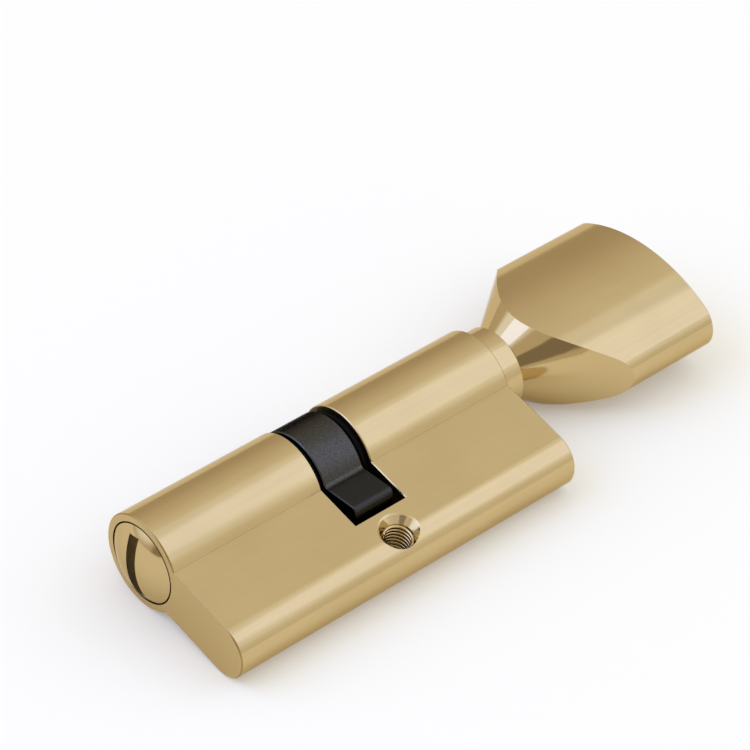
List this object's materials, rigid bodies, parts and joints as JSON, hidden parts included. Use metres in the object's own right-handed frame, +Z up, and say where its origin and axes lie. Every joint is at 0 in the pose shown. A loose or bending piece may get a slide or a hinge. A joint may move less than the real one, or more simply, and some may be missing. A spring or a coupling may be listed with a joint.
{
  "type": "bathroom door cylinder",
  "caption": "Brass euro-profile door cylinder lying on its side: coin-slot release plug, black cam with lever, and a flared thumbturn that turn together.",
  "frame": {"origin": "middle of the fixing screw hole, halfway through the stem", "axes": "+X along the barrel towards the thumbturn, +Z up from the table that the lock lies on, +Y from the stem's foot towards the barrel; the stem's flat sides lean 10.22 degrees about X from level"},
  "size_m": [0.1115, 0.0409, 0.017],
  "materials": {
    "satin_brass": "satin, finely brushed along the barrel",
    "polished_brass": "polished",
    "spindle_brass": "satin, turned",
    "knob_brass": "satin grip faces, polished neck",
    "black_cam": "black, slightly matte",
    "black_spring_steel": "black oxide",
    "steel": "plain"
  },
  "bodies": {
    "housing": {"housing": "satin_brass"},
    "turning_set": {"release_plug": "polished_brass", "release_circlip": "black_spring_steel", "cam": "black_cam", "drive_bar": "steel", "turn_spindle": "spindle_brass", "spindle_circlip": "black_spring_steel", "thumbturn": "knob_brass", "knob_grub_screw": "steel", "friction_ball": "steel", "friction_spring": "steel"}
  },
  "joints": [
    {"name": "knob_turn", "type": "hinge", "parent": "housing", "child": "turning_set", "pos_m": [0, 0.01968, 0.00355], "axis": [1, 0, 0], "continuous": true}
  ]
}
